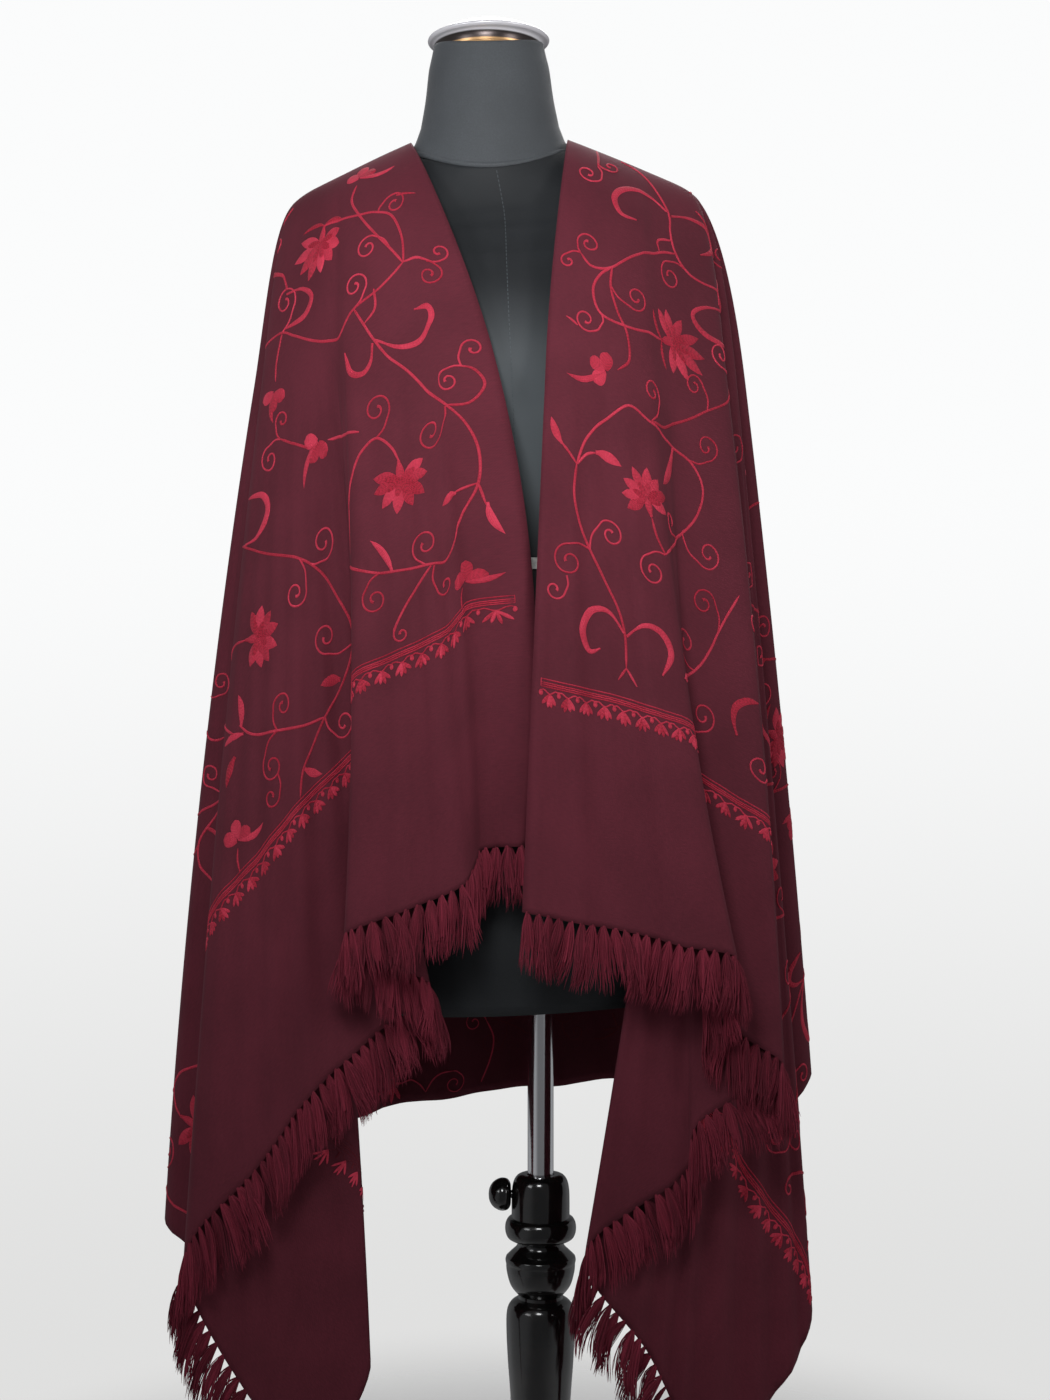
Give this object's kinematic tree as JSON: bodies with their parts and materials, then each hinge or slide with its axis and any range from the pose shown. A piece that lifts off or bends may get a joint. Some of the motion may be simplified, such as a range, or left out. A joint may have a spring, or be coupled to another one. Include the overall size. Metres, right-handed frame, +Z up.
{
  "type": "kashmiri shawl on a dress form",
  "caption": "Embroidered fringed wool shawl draped open over a limbless dress form that turns and slides on a pole stand.",
  "frame": {"origin": "centre of the underside of the stand's base, on the pole's axis", "axes": "+Z up along the pole; -Y is the front, where the shawl opens; +X is to the right as seen from the front"},
  "size_m": [0.66, 0.38, 1.5748],
  "materials": {
    "shawl": "matte",
    "fringe": "matte",
    "form_cloth": "matte",
    "neck_cloth": "matte",
    "tape": "matte",
    "label": "matte",
    "chrome": "polished",
    "black_wood": "gloss",
    "base_metal": "gloss"
  },
  "bodies": {
    "stand": {"stand_base": "base_metal", "stand_column": "black_wood"},
    "knob": {"clamp_knob": "black_wood"},
    "mast": {"pole": "chrome"},
    "form": {"form_torso": "form_cloth", "form_neck": "neck_cloth", "neck_cap": "chrome", "waist_tape": "tape", "tape_label": "label", "shawl_front_left": "shawl", "shawl_side_left": "shawl", "shawl_tail_left": "shawl", "shawl_back_left": "shawl", "shawl_back_middle": "shawl", "shawl_back_right": "shawl", "shawl_tail_right": "shawl", "shawl_fold_right": "shawl", "shawl_side_right": "shawl", "shawl_front_right": "shawl", "fringe_front_left": "fringe", "fringe_side_left": "fringe", "fringe_tail_left": "fringe", "fringe_tail_right": "fringe", "fringe_fold_right": "fringe", "fringe_side_right": "fringe", "fringe_front_right": "fringe"}
  },
  "joints": [
    {"name": "height_slide", "type": "slide", "parent": "stand", "child": "mast", "axis": [0, 0, 1], "range_m": [-0.05, 0.2]},
    {"name": "form_turn", "type": "hinge", "parent": "mast", "child": "form", "pos_m": [0, 0, 0.6], "axis": [0, 0, 1], "continuous": true},
    {"name": "knob_turn", "type": "hinge", "parent": "stand", "child": "knob", "pos_m": [-0.04, 0, 0.406], "axis": [-1, 0, 0], "range_deg": [0, 360]}
  ]
}
